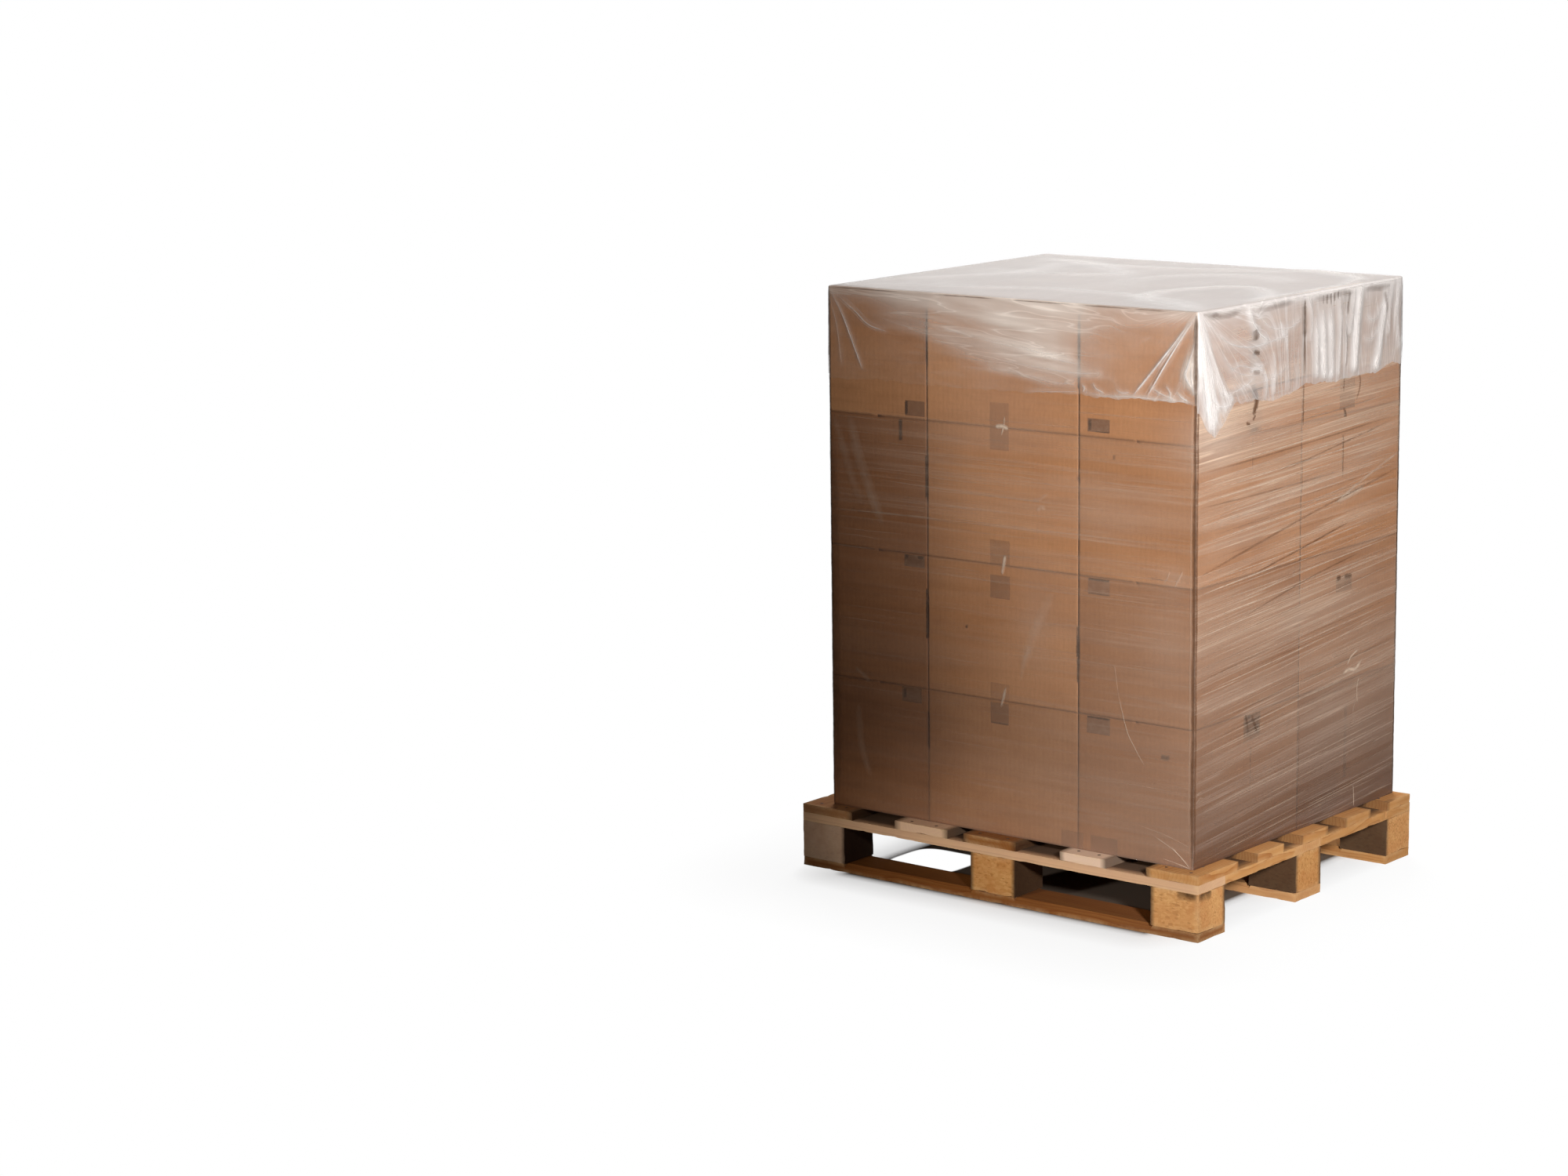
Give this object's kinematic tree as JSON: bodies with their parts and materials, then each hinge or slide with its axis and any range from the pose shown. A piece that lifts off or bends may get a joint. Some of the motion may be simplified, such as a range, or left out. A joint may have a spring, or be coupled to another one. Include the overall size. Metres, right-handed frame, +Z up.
{
  "type": "shrink wrapped pallet load",
  "caption": "Pallet load of stacked cartons on a wooden block pallet, wrapped in stretch film with a clear top sheet, open for forks on all sides.",
  "frame": {"origin": "on the floor, under the centre of the pallet", "axes": "+X along the pallet's 1200 mm side to the right as seen from the front, +Y from the front to the back, +Z up"},
  "size_m": [1.2, 1, 1.4943],
  "materials": {
    "board_wood": "rough sawn softwood",
    "block_wood": "rough sawn softwood block",
    "carton_board": "brown kraft corrugated board",
    "stretch_film": "clear stretch film",
    "top_sheet": "clear polyethylene sheet with soft folds"
  },
  "bodies": {
    "root": {"block_back_centre": "block_wood", "block_back_left": "block_wood", "block_back_right": "block_wood", "block_front_centre": "block_wood", "block_front_left": "block_wood", "block_front_right": "block_wood", "block_middle_centre": "block_wood", "block_middle_left": "block_wood", "block_middle_right": "block_wood", "carton_layer1_left_1": "carton_board", "carton_layer1_left_2": "carton_board", "carton_layer1_middle_1": "carton_board", "carton_layer1_middle_2": "carton_board", "carton_layer1_middle_3": "carton_board", "carton_layer1_right_1": "carton_board", "carton_layer1_right_2": "carton_board", "carton_layer2_left_1": "carton_board", "carton_layer2_left_2": "carton_board", "carton_layer2_middle_1": "carton_board", "carton_layer2_middle_2": "carton_board", "carton_layer2_middle_3": "carton_board", "carton_layer2_right_1": "carton_board", "carton_layer2_right_2": "carton_board", "carton_layer3_left_1": "carton_board", "carton_layer3_left_2": "carton_board", "carton_layer3_middle_1": "carton_board", "carton_layer3_middle_2": "carton_board", "carton_layer3_middle_3": "carton_board", "carton_layer3_right_1": "carton_board", "carton_layer3_right_2": "carton_board", "carton_layer4_left_1": "carton_board", "carton_layer4_left_2": "carton_board", "carton_layer4_middle_1": "carton_board", "carton_layer4_middle_2": "carton_board", "carton_layer4_middle_3": "carton_board", "carton_layer4_right_1": "carton_board", "carton_layer4_right_2": "carton_board", "cross_board_left_back": "board_wood", "cross_board_left_front": "board_wood", "cross_board_right_back": "board_wood", "cross_board_right_front": "board_wood", "deck_board_1": "board_wood", "deck_board_2": "board_wood", "deck_board_3": "board_wood", "deck_board_4": "board_wood", "deck_board_5": "board_wood", "runner_back": "board_wood", "runner_front": "board_wood", "runner_middle": "board_wood", "stretch_film": "stretch_film", "stringer_back": "board_wood", "stringer_front": "board_wood", "stringer_middle": "board_wood", "top_sheet": "top_sheet"}
  },
  "joints": []
}
